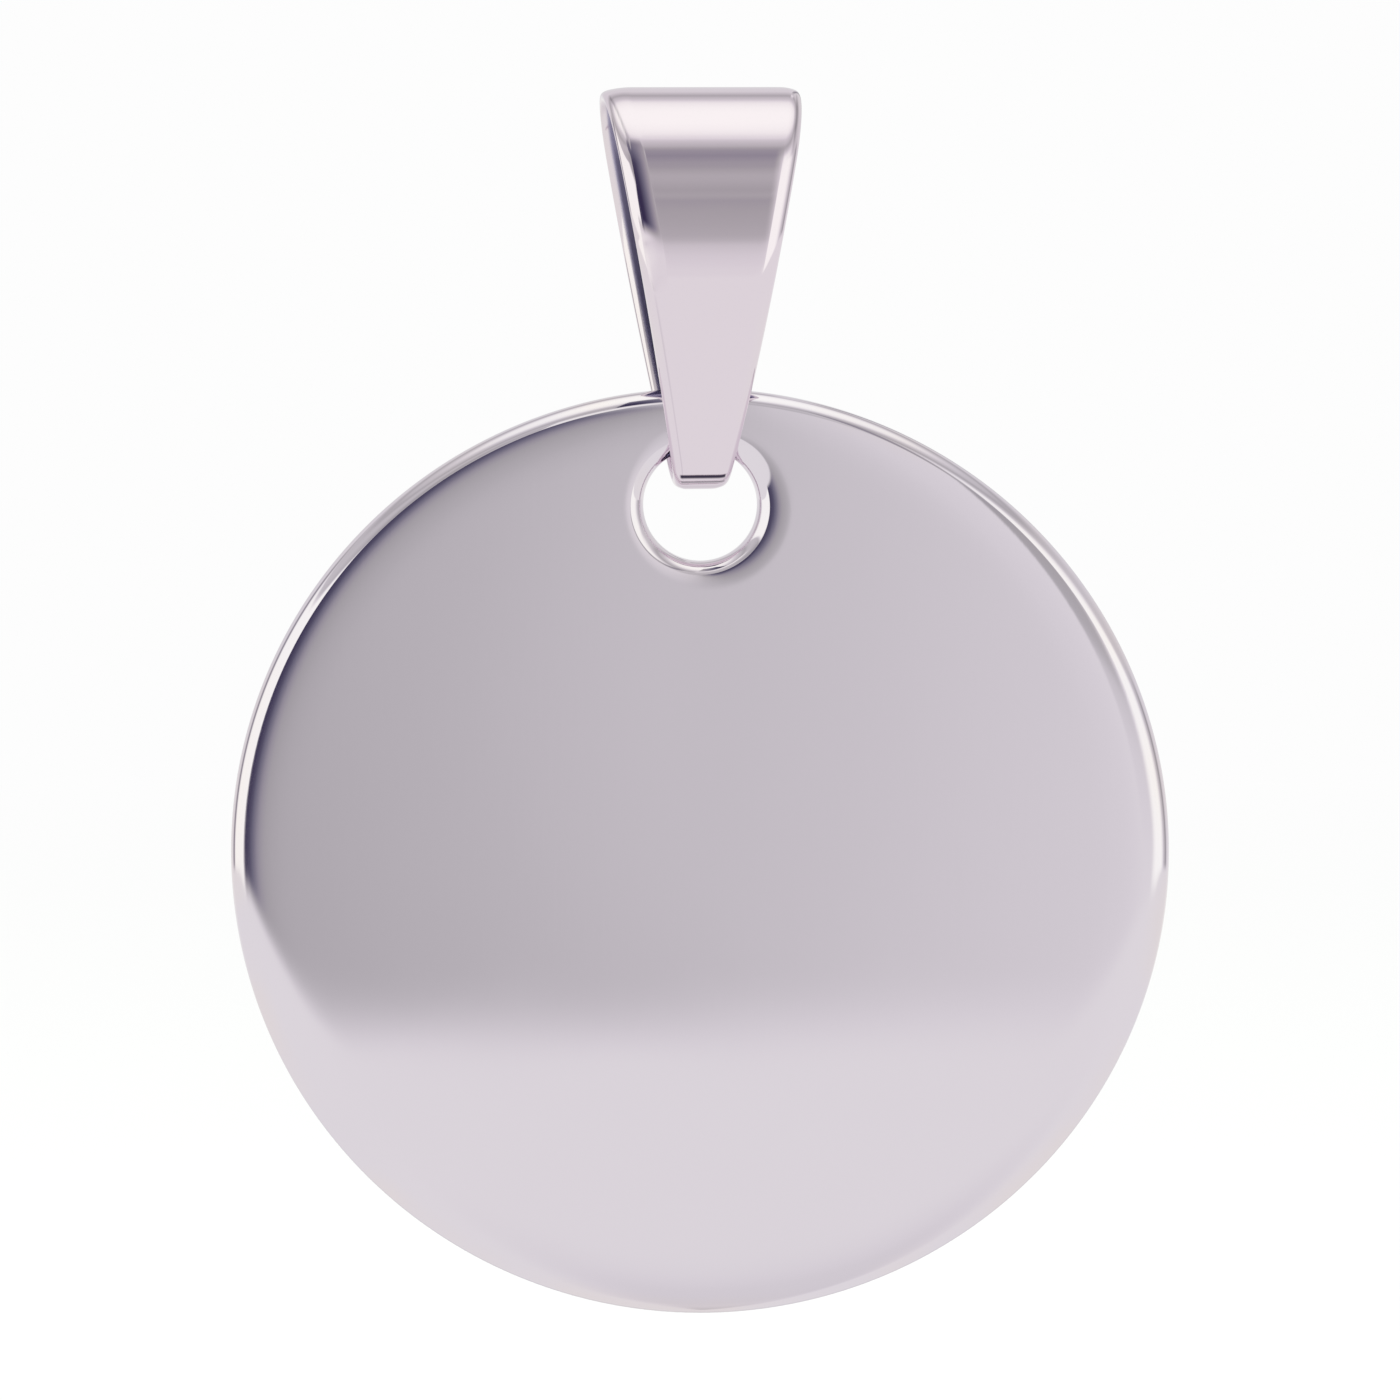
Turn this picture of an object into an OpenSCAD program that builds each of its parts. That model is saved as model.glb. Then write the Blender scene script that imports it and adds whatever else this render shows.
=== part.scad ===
// Round disc pendant that hangs from a folded, tapered bail.
// Millimetres, +Z up and the front towards -Y.
// The origin is where a chain sits: the top of the space inside the bail.

/* [Disc] */
// Diameter of the disc
disc_d = 20; // [16:1:30]
// Thickness of the disc where its faces are flat
disc_t = 0.8; // [0.7:0.05:0.9]
// Diameter of the hole that the bail passes through
hole_d = 2.4; // [2:0.1:3]
// Metal left between the hole and the top of the rim
bridge_h = 1.25; // [1.1:0.05:1.5]

/* [Edges of the disc] */
// Radius that rounds the rim and the rim of the hole
edge_r = 0.3; // [0.2:0.02:0.32]
// Width of the soft shoulder between a flat face and that radius
shoulder_w = 0.5; // [0.3:0.05:0.6]
// Radius of the soft shoulder's gentle curve
shoulder_r = 4.5; // [4:0.5:8]

/* [Bail] */
// Height of the bail from the crest to the fold
bail_h = 8.4; // [8:0.2:10]
// Width of the bail at its crest
crest_w = 4.2; // [3:0.1:5]
// Width of the bail at the fold inside the hole
fold_w = 1.1; // [0.9:0.1:1.4]
// Thickness of the strap
strap_t = 0.3; // [0.25:0.05:0.35]
// Outer radius of the crest, seen from the side
crest_r = 1.75; // [1.5:0.05:2]
// Outer radius of the fold, seen from the side
fold_r = 0.7; // [0.65:0.05:0.8]
// Outer radius of the two bowed legs, seen from the side
leg_r = 11; // [10:1:13]
// Radius of the bail's four corners, seen from the front
corner_r = 0.2; // [0.1:0.05:0.3]

/* [Hanging] */
// Angle by which the bail hangs turned about the vertical, its front leg to the right
bail_turn = 6.5; // [0:0.5:7]
// Height of the hole's upper edge above the bottom of the space inside the bail
rest_h = 0.57; // [0.55:0.01:0.62]

/* [Hidden] */

// Fineness of the round shapes, and flats on each corner of the bail
$fn = 360;
corner_steps = 8;
// How far the cutting shapes run past the metal
past = 1;

// Rim of the disc, measured inwards from its outermost line
edge_w = edge_r + shoulder_w;
shoulder_depth = disc_t / 2 - shoulder_r;
edge_h = shoulder_depth + sqrt(pow(shoulder_r - edge_r, 2) - pow(shoulder_w, 2));
edge_share = edge_r / (shoulder_r - edge_r);
blend_w = shoulder_w + edge_share * shoulder_w;

// Heights of the bail: the crest's and the fold's centres, and the legs' widest level
bail_top = strap_t;
bail_bottom = bail_top - bail_h;
crest_z = bail_top - crest_r;
fold_z = bail_bottom + fold_r;
centres_h = crest_z - fold_z;
to_crest = leg_r - crest_r;
to_fold = leg_r - fold_r;
crest_above = (centres_h - (to_fold * to_fold - to_crest * to_crest) / centres_h) / 2;
fold_below = centres_h - crest_above;
widest_z = crest_z - crest_above;
leg_offset = sqrt(to_crest * to_crest - crest_above * crest_above);

// Slope of the bail's sides, seen from the front
taper = atan((crest_w - fold_w) / 2 / bail_h);

// Height of the disc's centre
disc_z = bail_bottom + strap_t + rest_h + bridge_h - disc_d / 2;
hole_z = disc_z + disc_d / 2 - bridge_h - hole_d / 2;

// Half of the edge's section: flat face at x = 0, outermost line at x = edge_w
module edge_half() {
    intersection() {
        translate([0, shoulder_depth]) circle(shoulder_r);
        square([blend_w, disc_t / 2]);
    }
    intersection() {
        translate([shoulder_w, edge_h]) circle(edge_r);
        translate([shoulder_w, 0]) square([edge_r, disc_t]);
    }
    square([edge_w, edge_h]);
}

// Whole section of the edge, the same on the rim and round the hole
module edge_section() {
    edge_half();
    mirror([0, 1]) edge_half();
}

// Round plate with a rounded rim, its axis along Z
module plate() {
    rotate_extrude() {
        translate([disc_d / 2 - edge_w, 0]) edge_section();
        translate([0, -disc_t / 2]) square([disc_d / 2 - edge_w, disc_t]);
    }
}

// What the hole takes away, so that its edge is rounded like the rim
module hole_cutter() {
    rotate_extrude() difference() {
        translate([0, -past]) square([hole_d / 2 + edge_w, 2 * past]);
        translate([hole_d / 2 + edge_w, 0]) mirror([1, 0]) edge_section();
    }
}

module disc() {
    color([0.82, 0.79, 0.82])
    rotate([90, 0, 0]) difference() {
        translate([0, disc_z, 0]) plate();
        translate([0, hole_z, 0]) hole_cutter();
    }
}

// Side view of the loop, drawn in by inset: two bowed legs, the crest and the fold
module loop_side(inset) {
    crest_end = crest_z + (crest_r - inset) * crest_above / to_crest;
    fold_end = fold_z - (fold_r - inset) * fold_below / to_fold;
    intersection() {
        translate([leg_offset, widest_z]) circle(leg_r - inset);
        translate([-leg_offset, widest_z]) circle(leg_r - inset);
        translate([-leg_r, fold_end]) square([2 * leg_r, crest_end - fold_end]);
    }
    translate([0, crest_z]) circle(crest_r - inset);
    translate([0, fold_z]) circle(fold_r - inset);
}

// Points on an arc about centre, from one angle to another
function arc(centre, radius, from, to) = [
    for (i = [0:corner_steps])
        let (angle = from + (to - from) * i / corner_steps)
        centre + radius * [cos(angle), sin(angle)]
];

// Front view of the bail: a taper with rounded corners
module loop_front() {
    crest_x = crest_w / 2 - corner_r * (1 + sin(taper)) / cos(taper);
    fold_x = fold_w / 2 - corner_r * (1 - sin(taper)) / cos(taper);
    right = concat(
        arc([crest_x, bail_top - corner_r], corner_r, 90, -taper),
        arc([fold_x, bail_bottom + corner_r], corner_r, -taper, -90)
    );
    left = [for (i = [len(right) - 1:-1:0]) [-right[i].x, right[i].y]];
    polygon(concat(right, left));
}

module bail() {
    color([0.84, 0.81, 0.84])
    rotate([0, 0, bail_turn]) intersection() {
        rotate([90, 0, 90]) linear_extrude(crest_w + 2 * past, center = true) difference() {
            loop_side(0);
            loop_side(strap_t);
        }
        rotate([90, 0, 0]) linear_extrude(2 * crest_r + 2 * past, center = true) loop_front();
    }
}

disc();
bail();
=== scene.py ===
"""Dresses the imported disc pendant: a mirror-polished disc, its folded bail and a small photo studio.

Lengths are metres in the row frame: +Z up, the front towards -Y, the chain's seat at the origin.
"""

import math

import bpy
import numpy as np
from bpy.props import FloatProperty, FloatVectorProperty, PointerProperty
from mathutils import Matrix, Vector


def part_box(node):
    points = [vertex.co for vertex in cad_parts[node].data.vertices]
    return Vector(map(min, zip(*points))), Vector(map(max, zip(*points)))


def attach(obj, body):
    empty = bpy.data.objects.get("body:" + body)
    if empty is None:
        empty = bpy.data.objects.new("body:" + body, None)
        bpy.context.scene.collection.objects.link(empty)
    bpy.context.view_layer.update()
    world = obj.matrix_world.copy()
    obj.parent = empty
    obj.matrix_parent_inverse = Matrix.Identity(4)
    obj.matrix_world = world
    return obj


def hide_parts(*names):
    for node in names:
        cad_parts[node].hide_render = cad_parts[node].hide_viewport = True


bl_info = {
    "name": "Disc pendant",
    "version": (1, 0, 0),
    "blender": (4, 5, 0),
    "location": "3D View > Sidebar > Pendant",
    "description": "Polished disc on a folded bail, with its metal and a small photo studio",
    "category": "Add Mesh",
}

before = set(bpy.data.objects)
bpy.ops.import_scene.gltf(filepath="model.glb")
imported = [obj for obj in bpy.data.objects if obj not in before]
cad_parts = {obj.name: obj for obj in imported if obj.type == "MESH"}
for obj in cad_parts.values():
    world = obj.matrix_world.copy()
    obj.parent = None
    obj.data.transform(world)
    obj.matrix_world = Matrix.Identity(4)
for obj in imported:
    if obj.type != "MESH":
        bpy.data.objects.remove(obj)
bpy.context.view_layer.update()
disc_low, disc_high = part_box("disc")
bail_low, bail_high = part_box("bail")

MM = 0.001
# Points round each ring of the disc, and lines round an edge's section
RING_POINTS = 384
EDGE_LINES = 14
# Share of the disc's face, from the hole and from the rim, whose rings lie close together
SHOULDER_SHARE = 0.06
# Share of the strap's half width that one side may take up
WIDEST_SIDE = 0.85
# Depth of the solder seam and of the filed lines, and so the strength of the painted shade in them, as shares
# of the tip's line
SEAM_DEPTH, FILED_DEPTH = 0.8, 0.4
# Degrees up from straight ahead: the filed lines appear and vanish, and the left one nears the side
FILED_SPAN = (12, 26, 66, 72)
FILED_DRIFT = (26, 63)
# Shares of the strap's thickness: where the inside's matt finish and painted shade start, and over what they
# grow full
INSIDE_START, INSIDE_FADE = 0.96, 1 / 30


def linear(shade):
    """Linear red, green and blue of an sRGB hex colour such as #EBE4EB."""
    parts = np.array([int(shade[i : i + 2], 16) for i in (1, 3, 5)]) / 255
    return tuple(np.where(parts <= 0.04045, parts / 12.92, ((parts + 0.055) / 1.055) ** 2.4))


def length(name, description, millimetres):
    """A length property, in metres, from a size in millimetres."""
    return FloatProperty(
        name=name, description=description, default=millimetres * MM, min=0, precision=5, unit="LENGTH"
    )


def position(name, description, millimetres):
    """A place up or right of the chain's seat, or with a minus down or left, in metres from millimetres."""
    return FloatProperty(
        name=name, description=description, default=millimetres * MM, precision=5, unit="LENGTH"
    )


def slope(name, description, degrees):
    """An angle property, in radians, from degrees."""
    return FloatProperty(
        name=name, description=description, default=math.radians(degrees), min=-1, max=1, unit="ROTATION"
    )


def colour(name, description, shade):
    """A colour property from an sRGB hex value."""
    return FloatVectorProperty(
        name=name, description=description, default=linear(shade), size=3, min=0, max=1, subtype="COLOR"
    )


class DiscSizes(bpy.types.PropertyGroup):
    diameter: length("Diameter", "Diameter of the disc", (disc_high.x - disc_low.x) / MM)
    thickness: length("Thickness", "Thickness where the faces are flat", (disc_high.y - disc_low.y) / MM)
    hole: length("Hole", "Diameter of the hole that the bail passes through", 2.4)
    bridge: length("Bridge", "Metal between the hole and the top of the rim", 1.25)
    edge: length("Edge radius", "Radius that rounds the rim and the rim of the hole", 0.3)
    rim_shoulder: length("Rim shoulder", "Width over which the face falls away towards the rim", 1.5)
    hole_shoulder: length("Hole shoulder", "Width over which the face falls away towards the hole", 0.31)
    lean: slope("Lean", "Slope at which a shoulder meets the edge radius", 6.84)
    rim_start: FloatProperty(
        name="Rim start",
        description="Power by which the rim's shoulder starts: above 1 gently, below 1 firmly",
        default=3.4, min=0.3, max=6,
    )
    hole_start: FloatProperty(
        name="Hole start",
        description="Power by which the hole's shoulder starts: above 1 gently, below 1 firmly",
        default=0.7, min=0.3, max=6,
    )
    uneven: FloatProperty(
        name="Uneven",
        description="Share by which the hole's shoulder leans more on the right and less on the left",
        default=0.33, min=0, max=0.6, subtype="FACTOR",
    )
    wider: FloatProperty(
        name="Wider",
        description="Share by which the hole's shoulder is wider on the right, narrower on the left",
        default=0.6, min=0, max=0.8, subtype="FACTOR",
    )


class BailSizes(bpy.types.PropertyGroup):
    crest_width: length("Crest width", "Width of the strap at the crest", 4.2)
    fold_width: length("Fold width", "Width of the strap at the fold in the hole", 1.1)
    strap: length("Strap", "Thickness of the strap", 0.3)
    crest: length("Crest radius", "Outer radius of the crest, seen from the side", 1.75)
    fold: length("Fold radius", "Outer radius of the fold, seen from the side", 0.7)
    leg: length("Leg radius", "Outer radius of the bowed legs, seen from the side", 11)
    corner: length("Corner", "How far the strap's four corners are drawn in, seen from the front", 0.1)
    left_shoulder: length("Left shoulder", "Width of the soft shoulder along the left side", 0.35)
    left_side: length("Left side", "Width of the rounding beyond the left shoulder", 0.205)
    left_lean: slope("Left lean", "Slope at which the left shoulder meets the rounding", 14)
    fade_start: position("Fade start", "Height below which the left shoulder fades", -2.8)
    fade_end: position("Fade end", "Height where the left shoulder has faded", -3.9)
    right_shoulder: length("Right shoulder", "Width of the soft shoulder along the right side", 0.2)
    right_side: length("Right side", "Width of the rounding beyond the right shoulder", 0.3)
    right_lean: slope("Right lean", "Slope at which the right shoulder meets the rounding", 1.2)
    inner_side: length("Inner side", "Width of the rounding on the strap's inner face", 0.2)
    side_depth: FloatProperty(
        name="Side depth",
        description="Share of the strap's thickness at which its rounded side stands furthest out",
        default=0.62, min=0.3, max=0.9, subtype="FACTOR",
    )
    tip_turn: slope("Tip turn", "How far under the fold the tip's line lies", 34)
    tip_spread: slope("Tip spread", "Half the angle that the tip's broad line takes up", 4)
    seam_turn: slope("Seam turn", "How far under the fold the solder seam lies", 47)
    seam_spread: slope("Seam spread", "Half the angle that the thin solder seam takes up", 1.8)
    tip_side: length("Tip side", "How far both lines keep from the strap's sides", 0.12)
    tip_end: length("Tip end", "Length over which both lines fade at their ends", 0.02)
    filed_in: length("Filed in", "How far in from the strap's sides the filed lines run", 0.125)
    filed_start: length("Filed start", "How far in the left filed line starts at the front", 0.24)
    left_filed: length("Left filed", "Half the width of the left filed line", 0.02)
    right_filed: length("Right filed", "Half the width of the right filed line", 0.018)
    groove: length("Groove", "Depth of the lines round the tip", 0.012)
    turn: slope("Turn", "Angle by which the bail hangs turned about the vertical", 6.5)


class MetalLook(bpy.types.PropertyGroup):
    disc: colour("Disc", "Colour of the plating on the disc", "#EBE3EB")
    bail: colour("Bail", "Colour of the plating on the bail, a little warmer", "#ECE0E9")
    worn: colour("Worn", "Colour of the silver that shows where the plating is thin", "#EDE3E6")
    # Painted shade: a darker blue-grey colour on the inner faces of the loop, where little light reaches; the
    # matt roughness there is the finish's own
    inside: colour("Inside", "Colour of the matt inside of the bail", "#A19BB6")
    # Painted shade: a dark colour laid into the grooves round the tip and the filed lines along the crest
    seam: colour("Seam", "Colour of the polishing paste left in the lines at the tip", "#3B3347")


class StudioLook(bpy.types.PropertyGroup):
    eye_ahead: length("Eye ahead", "Distance from the lens to the pendant", 95)
    eye_up: length("Eye height", "Height of the lens above the disc's middle", 17.14)
    pitch: slope("Pitch", "Angle by which the camera looks down", 8.24)
    lens: FloatProperty(
        name="Lens", description="Focal length on a 36 mm sensor, in millimetres",
        default=116.25, min=20, max=300,
    )
    paper: colour("Paper", "Colour of the pale floor and backdrop", "#FDFDFD")
    floor_drop: length("Floor drop", "How far the floor lies under the chain's seat", 38)
    floor_width: length("Floor width", "Width of the floor", 2000)
    card_ahead: length("Card ahead", "Distance from the pendant to the bail's card", 8)
    card_left: position("Card left", "Where the bail's card ends on the left", -4.5)
    card_right: position("Card right", "Where the bail's card ends on the right", 0.6)
    card_low: position("Card low", "Height of the lower edge of the bail's card", -5.6)
    card_high: position("Card high", "Height of the upper edge of the bail's card", 6)
    softbox: length("Softbox", "Width of the softbox", 300)
    softbox_height: length("Softbox height", "Height of the softbox over the chain's seat", 300)
    softbox_power: FloatProperty(
        name="Softbox power", description="Power of the softbox, in watts", default=0.41, min=0
    )


def closed_surface(name, points, measures):
    """Object whose mesh is a grid of points that joins up with itself both ways.

    points[i, j] is step j of line i. Each face joins four neighbours, and after
    the last line and the last step come the first ones again. measures are
    named grids of numbers that the metal reads.
    """
    lines, steps = points.shape[:2]
    i, j = np.meshgrid(np.arange(lines), np.arange(steps), indexing="ij")
    after_i, after_j = (i + 1) % lines, (j + 1) % steps
    corners = np.stack(
        [i * steps + j, after_i * steps + j, after_i * steps + after_j, i * steps + after_j], -1
    ).astype(np.int32)
    mesh = bpy.data.meshes.new(name)
    mesh.vertices.add(lines * steps)
    mesh.vertices.foreach_set("co", points.astype(np.float32).ravel())
    mesh.loops.add(corners.size)
    mesh.loops.foreach_set("vertex_index", corners.ravel())
    mesh.polygons.add(corners.size // 4)
    mesh.polygons.foreach_set("loop_start", np.arange(0, corners.size, 4, dtype=np.int32))
    mesh.update(calc_edges=True)
    mesh.shade_smooth()
    for measure, values in measures.items():
        numbers = mesh.attributes.new(measure, "FLOAT", "POINT").data
        numbers.foreach_set("value", values.astype(np.float32).ravel())
    piece = bpy.data.objects.new(name, mesh)
    bpy.context.scene.collection.objects.link(piece)
    return piece


def disc_points(size):
    """Points of the pierced disc and the wear there, on rings from the hole to the rim and back.

    A ring is a circle. Near the hole and near the rim the circles keep their
    centre and grow by the edge's own steps; in between, centre and radius pass
    evenly from one to the other. Half the thickness at a point is that of the
    flat, less what the shoulders have dropped there: a shoulder's lean grows
    from nothing as a power of the way across it. Inside the edge radius the
    section is an arc that starts at the shoulder's lean and ends upright.
    Round the hole the lean and the shoulder's width grow and shrink with the
    cosine of the direction, most to the right. Wear is full up to half an
    edge radius in, and gone at one and a half.
    """
    half = size.thickness / 2
    rim = size.diameter / 2
    hole = size.hole / 2
    hole_up = rim - size.bridge - hole
    angle = np.linspace(0, 2 * math.pi, RING_POINTS, endpoint=False)
    steps = np.linspace(1, 0, EDGE_LINES)[:-1, None]
    rim_lean = np.full(len(angle), size.lean)
    hole_lean = size.lean * (1 + size.uneven * np.cos(angle))
    hole_width = size.hole_shoulder * (1 + size.wider * np.cos(angle))

    def shoulder_drop(distance, lean, width, power):
        left = np.clip(1 - (distance - size.edge * (1 - np.sin(lean))) / width, 0, 1)
        return np.tan(lean) * width / (power + 1) * left ** (power + 1)

    def edge_arc(lean, width, power):
        turn = lean + (math.pi / 2 - lean) * steps
        start = size.edge * (1 - np.sin(lean))
        top = half - shoulder_drop(start, lean, width, power)
        return size.edge * (1 - np.sin(turn)), top + size.edge * (np.cos(turn) - np.cos(lean)), start

    hole_in, hole_height, hole_start = edge_arc(hole_lean, hole_width, size.hole_start)
    rim_in, rim_height, rim_start = edge_arc(rim_lean, size.rim_shoulder, size.rim_start)

    # Share of the way across the face: evenly over both shoulders, with wider steps between them
    near = np.linspace(0, SHOULDER_SHARE, 17)
    middle = 0.5 - 0.5 * np.cos(np.linspace(0, math.pi, 40))
    between = SHOULDER_SHARE + (1 - 2 * SHOULDER_SHARE) * middle
    share = np.concatenate([near[:-1], between, 1 - near[-2::-1]])[:, None]

    face = (1 - share) * (hole + hole_start) + share * (rim - rim_start)
    radius = np.concatenate([hole + hole_in, face, (rim - rim_in)[::-1]])
    centre = np.concatenate([np.ones_like(steps), 1 - share, np.zeros_like(steps)])
    up = hole_up * centre
    x = radius * np.cos(angle)
    z = up + radius * np.sin(angle)

    from_hole = np.hypot(x, z - hole_up) - hole
    from_rim = rim - np.hypot(x, z)
    fallen = shoulder_drop(from_hole, hole_lean, hole_width, size.hole_start)
    fallen += shoulder_drop(from_rim, rim_lean, size.rim_shoulder, size.rim_start)
    height = np.concatenate([hole_height, half - fallen[len(steps) : -len(steps)], rim_height[::-1]])
    edge = np.clip(1.5 - np.minimum(from_hole, from_rim) / size.edge, 0, 1)

    z += (disc_low.z + disc_high.z) / 2
    front = np.stack([x, -height, z], -1)
    back = np.stack([x, height, z], -1)[::-1]
    return np.concatenate([front, back]), {"edge": np.concatenate([edge, edge[::-1]])}


def bail_points(size):
    """Points of the folded strap, and at each the wear, the matt finish and painted shade inside the loop,
    and the painted shade in its grooves.

    Seen from the side, the loop is four arcs that touch, so its outer line is
    an arc's centre plus its radius along the outward direction, which turns
    once round. The section goes in from that line by its depth. Across, a
    point keeps its distance from the side, and the side lies where the taper
    has it at the point's own height, drawn in at each corner by the square of
    the way into it. The whole is turned about the vertical. Wear is full up
    to a fifth of the left side's width in, and gone at 1.2 of it.
    """
    top, bottom = bail_high.z, bail_low.z
    crest_z, fold_z = top - size.crest, bottom + size.fold
    rise = crest_z - fold_z
    to_crest, to_fold = size.leg - size.crest, size.leg - size.fold
    crest_above = (rise - (to_fold**2 - to_crest**2) / rise) / 2
    leg_z = crest_z - crest_above
    leg_y = math.sqrt(to_crest**2 - crest_above**2)
    crest_turn = math.asin(crest_above / to_crest)
    fold_turn = math.asin((rise - crest_above) / to_fold)

    # Each arc: its outer radius, its centre, where it starts and ends, and its steps
    arcs = [
        (size.leg, leg_y, leg_z, -fold_turn, crest_turn, 120),
        (size.crest, 0, crest_z, crest_turn, math.pi - crest_turn, 170),
        (size.leg, -leg_y, leg_z, math.pi - crest_turn, math.pi + fold_turn, 110),
        (size.fold, 0, fold_z, math.pi + fold_turn, 2 * math.pi - fold_turn, 180),
    ]
    turn = np.concatenate([np.linspace(a, b, n, endpoint=False) for *_, a, b, n in arcs])[:, None]
    radius, centre_y, centre_z = (
        np.concatenate([np.full((arc[-1], 1), arc[k]) for arc in arcs]) for k in range(3)
    )
    out_y, out_z = -np.cos(turn), np.sin(turn)
    outer_z = centre_z + radius * out_z

    fading = np.interp(outer_z, [size.fade_end, size.fade_start], [0, 1])
    left_in, left_down = strap_side(size, size.left_shoulder, size.left_side, size.left_lean * fading)
    right_lean = np.full_like(turn, size.right_lean)
    right_in, right_down = strap_side(size, size.right_shoulder, size.right_side, right_lean)
    inner, outer = np.linspace(0, 1, 14)[1:-1], np.linspace(0, 1, 20)[1:-1]
    # Across = share of the half width + offset: right side, inner face, left side, outer face
    share = np.concatenate(
        [np.ones(right_in.shape[1]), 1 - 2 * inner, -np.ones(left_in.shape[1]), 2 * outer - 1]
    )
    offset = np.concatenate([
        -right_in, inner * left_in[:, -1:] - (1 - inner) * right_in[:, -1:], left_in[:, ::-1],
        (1 - outer) * left_in[:, :1] - outer * right_in[:, :1],
    ], 1)
    inner_down = np.full((len(turn), len(inner)), size.strap)
    outer_down = np.zeros((len(turn), len(outer)))
    deep = np.concatenate([right_down, inner_down, left_down[:, ::-1], outer_down], 1)

    taper = (size.crest_width - size.fold_width) / 2 / (top - bottom)
    point_z = centre_z + (radius - deep) * out_z
    into_corner = np.clip(1 - np.minimum(top - point_z, point_z - bottom) / size.corner, 0, 1)
    half_width = size.crest_width / 2 - taper * (top - point_z)
    half_width -= size.corner * into_corner**2
    # Where the strap is narrow, its sides are narrow too
    narrow = np.minimum(1, WIDEST_SIDE * half_width / (size.left_shoulder + size.left_side))
    x = share * half_width + offset * narrow
    inward = half_width - np.abs(x)
    outside = deep < 0.5 * size.strap

    # Two shallow grooves in the outer face: the tip's line is broad, the solder seam further under is thin.
    # The metal darkens both with painted shade
    below = np.where(turn > math.pi, turn - 2 * math.pi, turn)
    line = np.exp(-(((below + size.tip_turn) / size.tip_spread) ** 4))
    line += SEAM_DEPTH * np.exp(-(((below + size.seam_turn) / size.seam_spread) ** 2))
    seam = line * np.clip((inward - size.tip_side) / size.tip_end, 0, 1) * outside
    # Faint lines along both sides of the crest, where the strap was filed before it was bent: shallow grooves
    # that the metal darkens with painted shade
    left_line = np.interp(turn, np.radians(FILED_DRIFT), [size.filed_start, size.filed_in])
    off_left = (inward - left_line) / size.left_filed
    off_right = (inward - size.filed_in) / size.right_filed
    filed = FILED_DEPTH * np.exp(-(np.where(x < 0, off_left, off_right) ** 2)) * outside
    seam += filed * np.interp(turn, np.radians(FILED_SPAN), [0, 1, 1, 0])

    reach = radius - deep - size.groove * seam
    y = centre_y + reach * out_y
    z = centre_z + reach * out_z
    cos, sin = math.cos(size.turn), math.sin(size.turn)
    points = np.stack([x * cos - y * sin, x * sin + y * cos, z], -1)[:, ::-1]
    edge = np.clip(1.2 - inward / size.left_side, 0, 1)
    inside = np.clip((deep / size.strap - INSIDE_START) / INSIDE_FADE, 0, 1)
    return points, {"edge": edge[:, ::-1], "inside": inside[:, ::-1], "seam": seam[:, ::-1]}


def strap_side(size, shoulder, side, lean):
    """Distance in from the strap's side, and depth below its outer face, of the points round one side.

    Rows are the lines along the strap, each with its own lean. The shoulder's
    slope grows evenly from nothing to the lean, so it is an arc. Then comes
    part of an ellipse that starts at that slope and ends upright, and a
    quarter ellipse on to the inner face.
    """
    way = np.linspace(0, 1, EDGE_LINES)
    face_in = side + shoulder * (1 - way) + 0 * lean
    face_down = np.tan(lean) * shoulder * way**2 / 2
    drop = face_down[:, -1:]

    # The rounded side ends past the middle of the strap, where it stands furthest out
    side_deep = size.side_depth * size.strap - drop
    rise = np.tan(lean) * side / side_deep
    first = np.arcsin(rise / (1 - rise))
    turn = first + (math.pi / 2 - first) * way[1:]
    side_in = side * (1 - np.sin(turn)) / (1 - np.sin(first))
    side_down = drop + side_deep * (1 - np.cos(turn) / np.cos(first))

    back = np.linspace(0, math.pi / 2, 12)[1:]
    back_in = size.inner_side * (1 - np.cos(back)) + 0 * lean
    back_down = drop + side_deep + (size.strap - drop - side_deep) * np.sin(back)
    across = np.concatenate([face_in, side_in, back_in], 1)
    return across, np.concatenate([face_down, side_down, back_down], 1)


def add_node(tree, kind, values=(), stops=(), **settings):
    """Adds a node with its settings and its inputs' values, each a number, a colour or an output to link.

    stops are a colour ramp's places and colours.
    """
    node = tree.nodes.new(kind)
    for name, value in settings.items():
        setattr(node, name, value)
    for socket, value in dict(values).items():
        if isinstance(value, bpy.types.NodeSocket):
            tree.links.new(value, node.inputs[socket])
        else:
            node.inputs[socket].default_value = value
    for place, _ in stops[1:-1]:
        node.color_ramp.elements.new(place)
    for element, (_, shade) in zip(node.color_ramp.elements if stops else (), stops):
        element.color = (*shade, 1)
    return node


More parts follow.
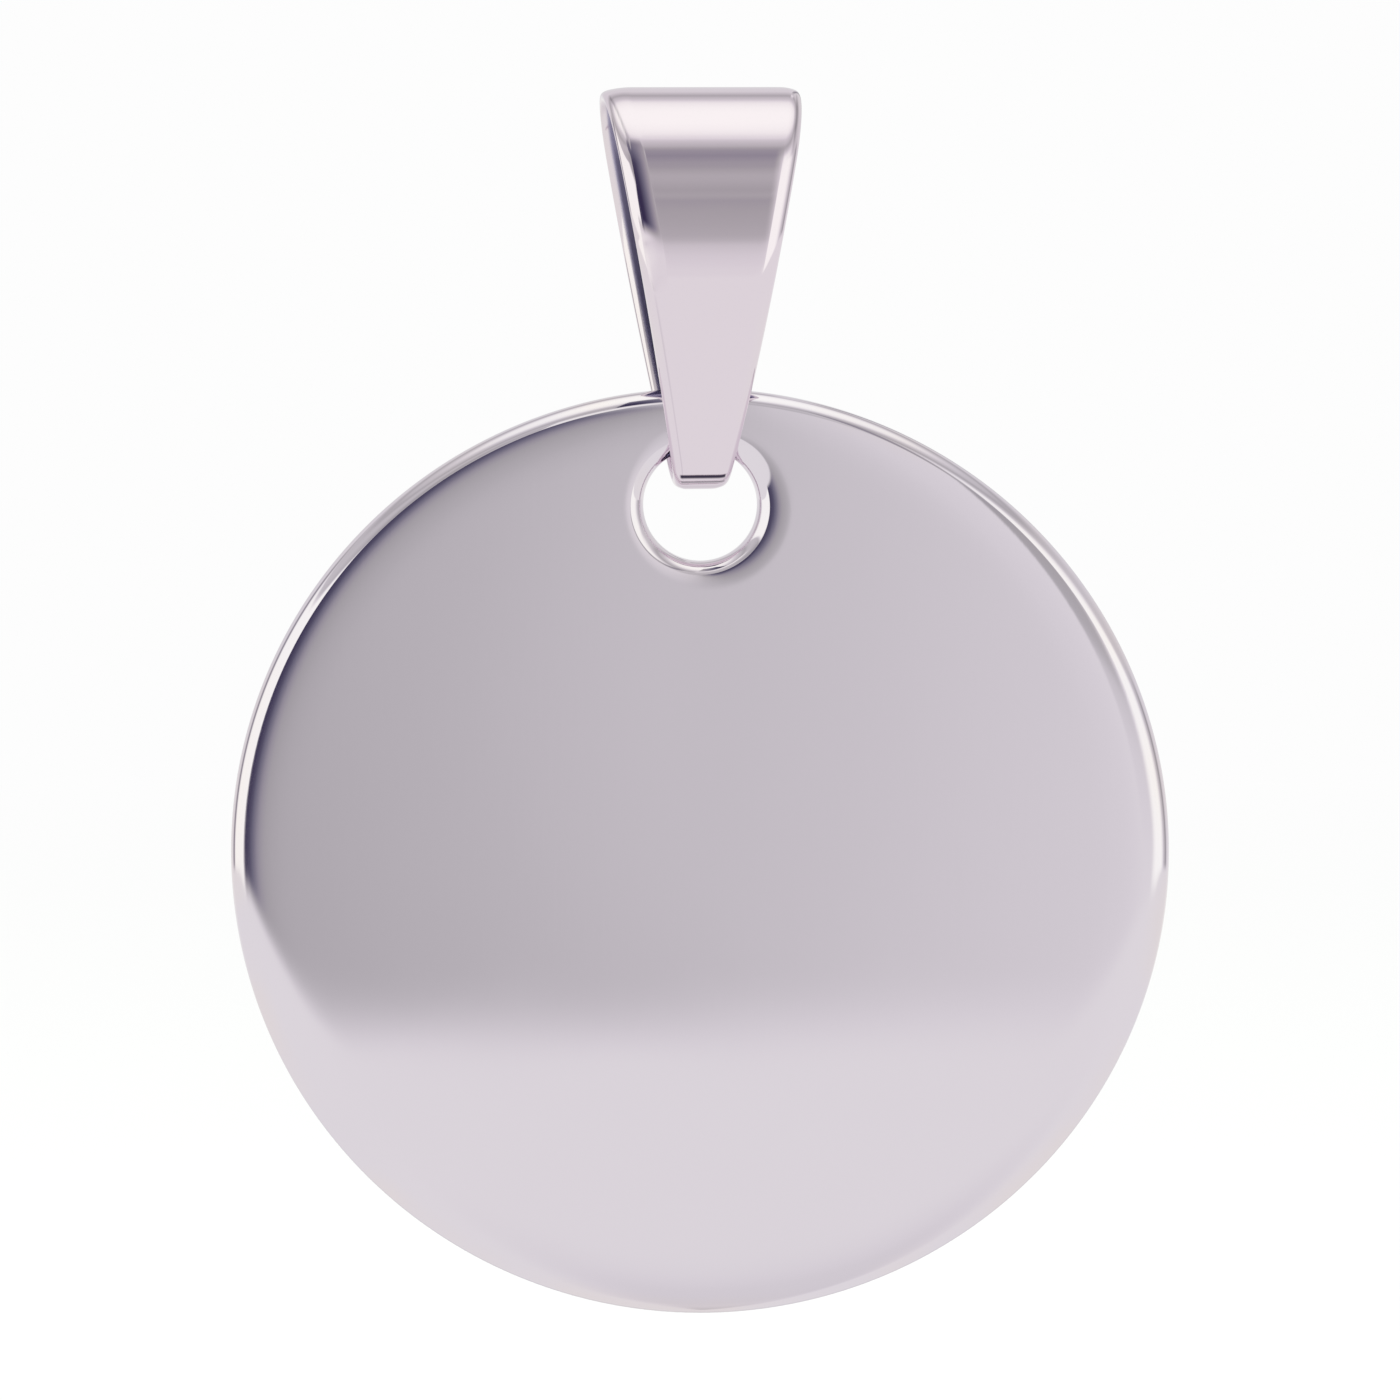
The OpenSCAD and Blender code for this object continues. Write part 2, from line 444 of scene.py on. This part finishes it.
def polished_rhodium(name, tint, worn, layers=()):
    """Sterling silver under a thin rhodium plating, pressed and then polished on a soft wheel.

    The plating gives a bright, slightly cool mirror. Polishing leaves a haze
    that differs a little from place to place, waves too shallow to feel and
    marks finer than a hair. Along the edges the wheel has thinned the plating,
    and the warmer silver comes through. A layer, given by a measure's name,
    a colour and an added roughness, covers the metal where the piece's
    measure of that name says.
    """
    material = bpy.data.materials.new(name)
    material.use_nodes = True
    tree = material.node_tree
    shader = tree.nodes["Principled BSDF"]
    shader.inputs["Metallic"].default_value = 1
    place = add_node(tree, "ShaderNodeTexCoord").outputs["Object"]

    # Clouds 3 mm across and waves 5 mm long
    clouds = add_node(tree, "ShaderNodeTexNoise", {"Vector": place, "Scale": 1 / (3 * MM), "Detail": 3})
    cloudy = clouds.outputs["Fac"]
    waves = add_node(tree, "ShaderNodeTexNoise", {"Vector": place, "Scale": 1 / (5 * MM), "Detail": 1})
    # Long marks at 35 degrees, drawn 0.12 mm apart: coarser than real ones, so that they show
    drawn_out = add_node(
        tree, "ShaderNodeMapping",
        {"Vector": place, "Rotation": (0, math.radians(35), 0), "Scale": (1, 1, 0.08)},
    )
    marks = add_node(
        tree, "ShaderNodeTexNoise", {"Vector": drawn_out.outputs[0], "Scale": 1 / (0.12 * MM), "Detail": 2}
    )
    # Edges are worn in patches, where the clouds are thick
    edge = add_node(tree, "ShaderNodeAttribute", attribute_name="edge").outputs["Fac"]
    bare = add_node(
        tree, "ShaderNodeMapRange", {"Value": cloudy, "From Min": 0.4, "From Max": 0.62, "To Max": 0.8}
    )
    thinned = add_node(tree, "ShaderNodeMath", {0: edge, 1: bare.outputs[0]}, operation="MULTIPLY").outputs[0]

    # The plating's colour differs by one and a half hundredths from place to place
    darker = tuple(0.985 * part for part in tint)
    plating = add_node(
        tree, "ShaderNodeMix", {"Factor": cloudy, 6: (*darker, 1), 7: (*tint, 1)}, data_type="RGBA"
    )
    metal = add_node(
        tree, "ShaderNodeMix", {"Factor": thinned, 6: plating.outputs[2], 7: (*worn, 1)}, data_type="RGBA"
    )
    # Roughness of a polished plating, and a little more where it is worn
    haze = add_node(
        tree, "ShaderNodeMapRange",
        {"Value": cloudy, "From Min": 0.3, "From Max": 0.7, "To Min": 0.028, "To Max": 0.045},
    )
    rough = add_node(
        tree, "ShaderNodeMath", {0: thinned, 1: 0.03, 2: haze.outputs[0]}, operation="MULTIPLY_ADD"
    )
    for measure, shade, rougher in layers:
        shown = add_node(tree, "ShaderNodeAttribute", attribute_name=measure).outputs["Fac"]
        metal = add_node(
            tree, "ShaderNodeMix", {"Factor": shown, 6: metal.outputs[2], 7: (*shade, 1)}, data_type="RGBA"
        )
        rough = add_node(
            tree, "ShaderNodeMath", {0: shown, 1: rougher, 2: rough.outputs[0]}, operation="MULTIPLY_ADD"
        )
    tree.links.new(metal.outputs[2], shader.inputs["Base Color"])
    tree.links.new(rough.outputs[0], shader.inputs["Roughness"])

    # The waves are 1.2 thousandths of a millimetre deep, the marks a tenth of one
    wavy = add_node(tree, "ShaderNodeBump", {"Height": waves.outputs["Fac"], "Distance": 0.0012 * MM})
    marked = add_node(
        tree, "ShaderNodeBump",
        {"Height": marks.outputs["Fac"], "Distance": 0.0001 * MM, "Normal": wavy.outputs["Normal"]},
    )
    tree.links.new(marked.outputs["Normal"], shader.inputs["Normal"])
    return material


def white_paper(name, paper, near):
    """Matt white paper, which scatters light evenly and shows soft shadows.

    Away from the pendant, from 1.3 to 4 times the distance near, it passes
    into a plain glow of the same white, so that the floor shows no end.
    """
    material = bpy.data.materials.new(name)
    material.use_nodes = True
    tree = material.node_tree
    shader = tree.nodes["Principled BSDF"]
    shader.inputs["Base Color"].default_value = (*paper, 1)
    shader.inputs["Roughness"].default_value = 1
    shader.inputs["Specular IOR Level"].default_value = 0
    place = add_node(tree, "ShaderNodeTexCoord").outputs["Object"]
    away = add_node(tree, "ShaderNodeVectorMath", {0: place}, operation="LENGTH").outputs["Value"]
    far = add_node(tree, "ShaderNodeMapRange", {"Value": away, "From Min": 1.3 * near, "From Max": 4 * near})
    # Fibres 0.6 mm long, raised by four thousandths of a millimetre
    fibres = add_node(tree, "ShaderNodeTexNoise", {"Vector": place, "Scale": 1 / (0.6 * MM), "Detail": 2})
    rough = add_node(tree, "ShaderNodeBump", {"Height": fibres.outputs["Fac"], "Distance": 0.004 * MM})
    tree.links.new(rough.outputs["Normal"], shader.inputs["Normal"])
    glow = add_node(tree, "ShaderNodeEmission", {"Color": (*paper, 1)})
    both = add_node(
        tree, "ShaderNodeMixShader", {"Fac": far.outputs[0], 1: shader.outputs[0], 2: glow.outputs[0]}
    )
    tree.links.new(both.outputs[0], tree.nodes["Material Output"].inputs["Surface"])
    return material


# How far the softbox's middle hangs ahead of straight up
SOFTBOX_LEAN = math.radians(9.5)
# Where the lens looks through the tent: degrees to the right of straight ahead, and up
LENS_GAP = (4, -8, 0)
# The table's far edge in the tent, and how many degrees to each side it bends up
TABLE_EDGE = ("table", -12.85, -11.6)
TABLE_BEND = 16

# The light tent, part over part. Each part: the angle that its stops follow, the stops with
# their brightness, and the soft edges within which it shows. Angles are in degrees.
TENT = [
    # Table in front of the pendant, and the pendant's own shadow on it
    ("side", [(-180, 0.86), (180, 0.86)], []),
    (
        "up",
        [
            (-90, 0.62), (-80, 0.64), (-65, 0.72), (-45, 0.77), (-30, 0.75), (-22, 0.77), (-15, 0.85),
            (0, 0.86),
        ],
        [("side", -7, -1), ("side", 13, 6)],
    ),
    # Wall at the height of the lens: a white card on the left and one on the right
    (
        "side",
        [
            (-180, 0.9), (-116, 0.82), (-106, 0.6), (-99, 0.3), (-92, 0.32), (-84, 0.9), (-76, 1.13),
            (-19, 1.14), (-10, 0.6), (0, 0.635), (5.4, 0.775), (12, 0.83), (15.6, 0.84), (17.2, 1.14),
            (46, 1.15), (58, 0.98), (72, 0.66), (80, 0.6), (86, 0.42), (95, 0.42), (104, 0.74),
            (142, 0.88), (180, 0.9),
        ],
        [TABLE_EDGE],
    ),
    # Wall above the left card, whose upper edge rises to the left
    (
        "side",
        [
            (-180, 0.8), (-135, 0.79), (-100, 0.68), (-75, 0.66), (-45, 0.62), (-25, 0.55), (-18, 0.45),
            (-10, 0.5), (0, 0.56), (180, 0.56),
        ],
        [("rising", -3.5, 0), ("side", -8, -14)],
    ),
    # Wall above the lens and above the right card
    (
        "side",
        [
            (-180, 0.5), (-12, 0.52), (0, 0.54), (6, 0.56), (10, 0.66), (13, 0.8), (18, 0.9), (23, 1.1),
            (42, 1), (52, 0.86), (62, 0.7), (80, 0.66), (100, 0.7), (140, 0.78), (180, 0.8),
        ],
        [("up", 8, 17), ("side", -14, -8)],
    ),
    # Room behind the pendant: pale table, and a wall that is dimmer higher up
    (
        "up",
        [
            (-90, 0.6), (-60, 0.68), (-40, 0.76), (-25, 0.84), (-15, 0.92), (-10.5, 0.9), (-7, 0.85),
            (0, 0.8), (12, 0.76), (30, 0.76), (45, 0.8), (90, 0.9),
        ],
        [("behind", 18, 48)],
    ),
    # Dim room seen past the lens, lightest close to it, with the left card's edge round it
    (
        "round_lens",
        [
            (0, 0.73), (4.5, 0.665), (7, 0.578), (8.2, 0.55), (9.4, 0.518), (11, 0.49), (12.3, 0.465),
            (13.7, 0.435), (14.4, 0.405), (15.2, 0.37), (16, 0.32), (16.8, 0.255), (18.1, 0.18),
            (19.1, 0.12), (20.3, 0.09), (22, 0.05), (30, 0.05),
        ],
        [("round_lens", 23.2, 21.6), ("side", 3, -3), TABLE_EDGE],
    ),
    # Overhead softbox with a dim band round it
    (
        "overhead",
        [
            (0, 0.62), (30, 0.64), (37, 0.6), (41, 0.5), (43.7, 0.52), (46.3, 0.6), (50.5, 0.67),
            (53.4, 0.75), (54.8, 0.8), (57.8, 0.92), (62, 1.02), (70, 1.13), (78, 1.18), (90, 1.19),
        ],
        [("overhead", 24, 38)],
    ),
    # Slit between the lens and the right card, from the table up to the softbox
    (
        "up",
        [
            (-20, 0.84), (-12, 0.835), (-10, 0.827), (-8, 0.79), (-6.9, 0.768), (-5.8, 0.728),
            (-4.6, 0.68), (-3.5, 0.564), (-2.4, 0.51), (0, 0.478), (3, 0.45), (5.4, 0.41), (6.5, 0.47),
            (7.7, 0.44), (9.9, 0.5), (11, 0.51), (12, 0.466), (13, 0.406), (16, 0.378), (23, 0.326),
            (30, 0.373), (33, 0.44), (36, 0.55), (41, 0.65), (44, 0.72), (46.8, 0.86), (60, 1.06),
        ],
        [("across", 10.4, 11.5), ("across", 18, 14.4), ("up", 58, 46), ("up", -12, -9)],
    ),
]
# Brightness that a colour ramp gives as 1
FULL = 1.2
# Colour of the light by its brightness: blue-violet in the gaps, a little green on the cards
TONES = [
    (0, "#000000"), (0.05, "#332D49"), (0.12, "#535165"), (0.2, "#6D6C7C"), (0.35, "#929098"),
    (0.45, "#A4A4A5"), (0.8, "#D5D5D6"), (1, "#ECEFEA"), (FULL, "#FAFFF7"),
]
TONE_MARKS = [(brightness / FULL, linear(shade)) for brightness, shade in TONES]

# Brightness of the dark part of the bail's card, by the place along it in millimetres
CARD_STOPS = [
    (-2.9, 0.05), (-2.4, 0.06), (-2, 0.11), (-1.5, 0.18), (-1.07, 0.26), (-0.64, 0.35), (0.1, 0.5),
]
# Places along the card slant to the left by this share of the height
CARD_SLANT = 0.11
# Brightness that the dark part nears higher up
CARD_LIFT = 0.36
# How much the white part gains towards the left, as a share of FULL
CARD_GAIN = 0.1
# Soft steps over the card: whether it goes up or along, its start and end in millimetres, its two values
CARD_STEPS = {
    "lift": ("up", -1.7, 5, 0, 0.7),
    "below": ("up", -2.7, -3.5, 0, 1),
    "white": ("up", -3, -4, 0.66 / FULL, 0.84 / FULL),
    "left_gain": ("along", -0.5, -3, 0, 1),
    "left_end": ("along", -3.08, -2.94, 0, 1),
    "right_end": ("along", 0.25, 0, 0, 1),
    "upper_end": ("up", 6, 3.5, 0, 1),
    "lower_end": ("up", -5.6, -4.6, 0, 1),
}


def ramp_marks(stops):
    """Marks of a colour ramp, at places from 0 to 1 and in greys as shares of FULL, from brightness stops."""
    first, last = stops[0][0], stops[-1][0]
    return [((place - first) / (last - first), [value / FULL] * 3) for place, value in stops]


def light_tent(tree):
    """Colour of the light tent by direction: its parts lie one over another as brightness, then are tinted.

    side and up are the direction's angles round the vertical and above the
    level, straight and behind those to the right and to the back of the
    pendant, and overhead that above the softbox's own level. Three more are
    bent: rising = up + 0.4 side, across = straight + 0.045 up and
    table = up - 0.004 times the square of side. round_lens is the distance in
    side and up from where the lens looks through.
    """
    direction = add_node(tree, "ShaderNodeTexCoord").outputs["Generated"]
    part = add_node(tree, "ShaderNodeSeparateXYZ", {0: direction})
    ahead = add_node(tree, "ShaderNodeMath", {0: part.outputs["Y"], 1: -1}, operation="MULTIPLY")
    zenith = (0, -math.sin(SOFTBOX_LEAN), math.cos(SOFTBOX_LEAN))
    lifted = add_node(tree, "ShaderNodeVectorMath", {0: direction, 1: zenith}, operation="DOT_PRODUCT")

    angles = {}
    for name, values, operation in (
        ("side", {0: part.outputs["X"], 1: ahead.outputs[0]}, "ARCTAN2"),
        ("up", {0: part.outputs["Z"]}, "ARCSINE"),
        ("straight", {0: part.outputs["X"]}, "ARCSINE"),
        ("behind", {0: part.outputs["Y"]}, "ARCSINE"),
        ("overhead", {0: lifted.outputs["Value"]}, "ARCSINE"),
    ):
        radians = add_node(tree, "ShaderNodeMath", values, operation=operation).outputs[0]
        degrees = add_node(tree, "ShaderNodeMath", {0: radians, 1: 180 / math.pi}, operation="MULTIPLY")
        angles[name] = degrees.outputs[0]
    off_middle = add_node(tree, "ShaderNodeMath", {0: angles["side"]}, operation="ABSOLUTE").outputs[0]
    near = add_node(tree, "ShaderNodeMath", {0: off_middle, 1: TABLE_BEND}, operation="MINIMUM").outputs[0]
    angles["bent"] = add_node(tree, "ShaderNodeMath", {0: near, 1: 2}, operation="POWER").outputs[0]
    for name, of, share, more in (
        ("rising", "side", 0.4, "up"), ("across", "up", 0.045, "straight"), ("table", "bent", -0.004, "up")
    ):
        mixed = add_node(
            tree, "ShaderNodeMath", {0: angles[of], 1: share, 2: angles[more]}, operation="MULTIPLY_ADD"
        )
        angles[name] = mixed.outputs[0]
    flat = add_node(tree, "ShaderNodeCombineXYZ", {0: angles["side"], 1: angles["up"]})
    away = add_node(tree, "ShaderNodeVectorMath", {0: flat.outputs[0], 1: LENS_GAP}, operation="DISTANCE")
    angles["round_lens"] = away.outputs["Value"]

    tent = 0
    for follows, stops, edges in TENT:
        share = add_node(
            tree, "ShaderNodeMapRange",
            {"Value": angles[follows], "From Min": stops[0][0], "From Max": stops[-1][0]},
        )
        shade = add_node(tree, "ShaderNodeValToRGB", {"Fac": share.outputs[0]}, ramp_marks(stops))
        shown = 1
        for name, start, end in edges:
            soft = add_node(
                tree, "ShaderNodeMapRange", {"Value": angles[name], "From Min": start, "From Max": end},
                interpolation_type="SMOOTHSTEP",
            )
            within = add_node(tree, "ShaderNodeMath", {0: soft.outputs[0], 1: shown}, operation="MULTIPLY")
            shown = within.outputs[0]
        laid = add_node(tree, "ShaderNodeMix", {"Factor": shown, 2: tent, 3: shade.outputs["Color"]})
        tent = laid.outputs[0]
    return add_node(tree, "ShaderNodeValToRGB", {"Fac": tent}, TONE_MARKS).outputs["Color"]


def shaded_card(name):
    """Small translucent card hung before the bail: dark above, where it pales to the right, and white below.

    Its dark part gets paler higher up as well, and its white part whiter
    towards the left. It fades out at its edges.
    """
    material = bpy.data.materials.new(name)
    material.use_nodes = True
    tree = material.node_tree
    part = add_node(
        tree, "ShaderNodeSeparateXYZ", {0: add_node(tree, "ShaderNodeTexCoord").outputs["Object"]}
    )
    up = part.outputs["Z"]
    slanted = add_node(
        tree, "ShaderNodeMath", {0: up, 1: CARD_SLANT, 2: part.outputs["X"]}, operation="MULTIPLY_ADD"
    )
    ways = {"up": up, "along": slanted.outputs[0]}
    steps = {}
    for step, (way, start, end, low, high) in CARD_STEPS.items():
        soft = add_node(
            tree, "ShaderNodeMapRange",
            {"Value": ways[way], "From Min": start * MM, "From Max": end * MM, "To Min": low, "To Max": high},
            interpolation_type="SMOOTHSTEP",
        )
        steps[step] = soft.outputs[0]

    share = add_node(
        tree, "ShaderNodeMapRange",
        {"Value": ways["along"], "From Min": CARD_STOPS[0][0] * MM, "From Max": CARD_STOPS[-1][0] * MM},
    )
    dark = add_node(tree, "ShaderNodeValToRGB", {"Fac": share.outputs[0]}, ramp_marks(CARD_STOPS))
    paler = add_node(
        tree, "ShaderNodeMix", {"Factor": steps["lift"], 2: dark.outputs["Color"], 3: CARD_LIFT / FULL}
    )
    white = add_node(
        tree, "ShaderNodeMath", {0: steps["left_gain"], 1: CARD_GAIN, 2: steps["white"]},
        operation="MULTIPLY_ADD",
    )
    shade = add_node(
        tree, "ShaderNodeMix", {"Factor": steps["below"], 2: paler.outputs[0], 3: white.outputs[0]}
    )
    tint = add_node(tree, "ShaderNodeValToRGB", {"Fac": shade.outputs[0]}, TONE_MARKS).outputs["Color"]
    light = add_node(tree, "ShaderNodeEmission", {"Color": tint, "Strength": FULL})
    clear = add_node(tree, "ShaderNodeBsdfTransparent")
    # The white part reaches further left than the dark one does
    shown = add_node(
        tree, "ShaderNodeMath", {0: steps["left_end"], 1: steps["below"]}, operation="MAXIMUM"
    ).outputs[0]
    for end in ("right_end", "upper_end", "lower_end"):
        shown = add_node(tree, "ShaderNodeMath", {0: shown, 1: steps[end]}, operation="MULTIPLY").outputs[0]
    both = add_node(tree, "ShaderNodeMixShader", {"Fac": shown, 1: clear.outputs[0], 2: light.outputs[0]})
    tree.links.new(both.outputs[0], tree.nodes["Material Output"].inputs["Surface"])
    return material


def stage_sheet(name, corners, material):
    """Flat sheet with four corners that belongs to the studio."""
    mesh = bpy.data.meshes.new(name)
    mesh.from_pydata(corners, [], [(0, 1, 2, 3)])
    mesh.materials.append(material)
    sheet = bpy.data.objects.new(name, mesh)
    bpy.context.scene.collection.objects.link(sheet)
    return sheet


def dress(piece, node, body, material):
    """Gives a new piece its metal, its CAD body and its slot, in place of a CAD node."""
    piece.data.materials.append(material)
    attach(piece, body)
    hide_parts(node)
    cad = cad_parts[node]
    for index in range(len(cad.material_slots)):
        cad.material_slots[index].material = material


class PENDANT_OT_disc(bpy.types.Operator):
    """Makes the pierced, polished disc"""

    bl_idname = "pendant.disc"
    bl_label = "Disc"

    def execute(self, context):
        piece = closed_surface("polished_disc", *disc_points(context.scene.disc_sizes))
        look = context.scene.metal_look
        metal = polished_rhodium("rhodium_plated_disc", look.disc, look.worn)
        dress(piece, "disc", "disc", metal)
        return {"FINISHED"}


class PENDANT_OT_bail(bpy.types.Operator):
    """Makes the folded strap that the disc hangs from"""

    bl_idname = "pendant.bail"
    bl_label = "Bail"

    def execute(self, context):
        piece = closed_surface("folded_bail", *bail_points(context.scene.bail_sizes))
        look = context.scene.metal_look
        # The inside of the folded strap is matt and gets a blue-grey painted shade, and painted shade darkens
        # the grooves at the tip and along the crest
        layers = (("inside", look.inside, 0.25), ("seam", look.seam, 0))
        metal = polished_rhodium("rhodium_plated_bail", look.bail, look.worn, layers)
        dress(piece, "bail", "bail", metal)
        return {"FINISHED"}


class PENDANT_OT_studio(bpy.types.Operator):
    """Makes the camera, the pale floor and the studio light"""

    bl_idname = "pendant.studio"
    bl_label = "Studio"

    def execute(self, context):
        scene = context.scene
        look = scene.studio_look
        disc_middle = (disc_low.z + disc_high.z) / 2
        data = bpy.data.cameras.new("camera")
        data.sensor_width = 36
        data.lens = look.lens
        data.clip_start, data.clip_end = 0.001, 50
        camera = bpy.data.objects.new("camera", data)
        camera.location = (0, -look.eye_ahead, disc_middle + look.eye_up)
        camera.rotation_euler = (math.pi / 2 - look.pitch, 0, 0)
        scene.collection.objects.link(camera)
        scene.camera = camera

        # The metal reflects the tent and the paper takes its light, but the camera sees plain paper
        world = bpy.data.worlds.new("studio")
        world.use_nodes = True
        tree = world.node_tree
        paper = tree.nodes["Background"]
        paper.inputs["Color"].default_value = (*look.paper, 1)
        tent = add_node(tree, "ShaderNodeBackground", {"Color": light_tent(tree), "Strength": FULL})
        seen = add_node(tree, "ShaderNodeLightPath").outputs["Is Camera Ray"]
        both = add_node(tree, "ShaderNodeMixShader", {"Fac": seen, 1: tent.outputs[0], 2: paper.outputs[0]})
        tree.links.new(both.outputs[0], tree.nodes["World Output"].inputs["Surface"])
        scene.world = world

        # Paper sweep: lit near the pendant, and as bright as the backdrop further away
        wide = look.floor_width / 2
        ends = ((-wide, -wide), (wide, -wide), (wide, wide), (-wide, wide))
        corners = [(x, y, -look.floor_drop) for x, y in ends]
        floor = stage_sheet("paper_floor", corners, white_paper("white_paper", look.paper, look.floor_drop))
        floor.visible_glossy = False

        # Card close before the bail: only its reflection shows
        left, right, low, high = look.card_left, look.card_right, look.card_low, look.card_high
        ends = ((left, low), (left, high), (right, high), (right, low))
        corners = [(x, -look.card_ahead, z) for x, z in ends]
        card = stage_sheet("bail_card", corners, shaded_card("shaded_card"))
        card.visible_camera = card.visible_diffuse = card.visible_shadow = False

        lamp = bpy.data.lights.new("softbox", "AREA")
        lamp.size = look.softbox
        lamp.energy = look.softbox_power
        softbox = bpy.data.objects.new("softbox", lamp)
        softbox.location = (0, -look.softbox_height * math.tan(SOFTBOX_LEAN), look.softbox_height)
        softbox.rotation_euler = (-SOFTBOX_LEAN, 0, 0)
        softbox.visible_glossy = False
        scene.collection.objects.link(softbox)
        scene.view_settings.view_transform = "Standard"
        return {"FINISHED"}


class PENDANT_PT_panel(bpy.types.Panel):
    """Lists the pieces and their sizes"""

    bl_idname = "PENDANT_PT_panel"
    bl_label = "Disc pendant"
    bl_space_type = "VIEW_3D"
    bl_region_type = "UI"
    bl_category = "Pendant"

    def draw(self, context):
        for maker, group in (("disc", "disc_sizes"), ("bail", "bail_sizes"), ("studio", "studio_look")):
            box = self.layout.box()
            box.operator("pendant." + maker)
            sizes = getattr(context.scene, group)
            for name in sizes.__annotations__:
                box.prop(sizes, name)
        for name in MetalLook.__annotations__:
            self.layout.prop(context.scene.metal_look, name)


GROUPS = {
    "disc_sizes": DiscSizes, "bail_sizes": BailSizes, "metal_look": MetalLook, "studio_look": StudioLook
}
CLASSES = [*GROUPS.values(), PENDANT_OT_disc, PENDANT_OT_bail, PENDANT_OT_studio, PENDANT_PT_panel]


def register():
    for kind in CLASSES:
        bpy.utils.register_class(kind)
    for name, group in GROUPS.items():
        setattr(bpy.types.Scene, name, PointerProperty(type=group))


def unregister():
    for name in GROUPS:
        delattr(bpy.types.Scene, name)
    for kind in reversed(CLASSES):
        bpy.utils.unregister_class(kind)


def main():
    register()
    bpy.ops.pendant.disc()
    bpy.ops.pendant.bail()
    bpy.ops.pendant.studio()


if __name__ == "__main__":
    main()
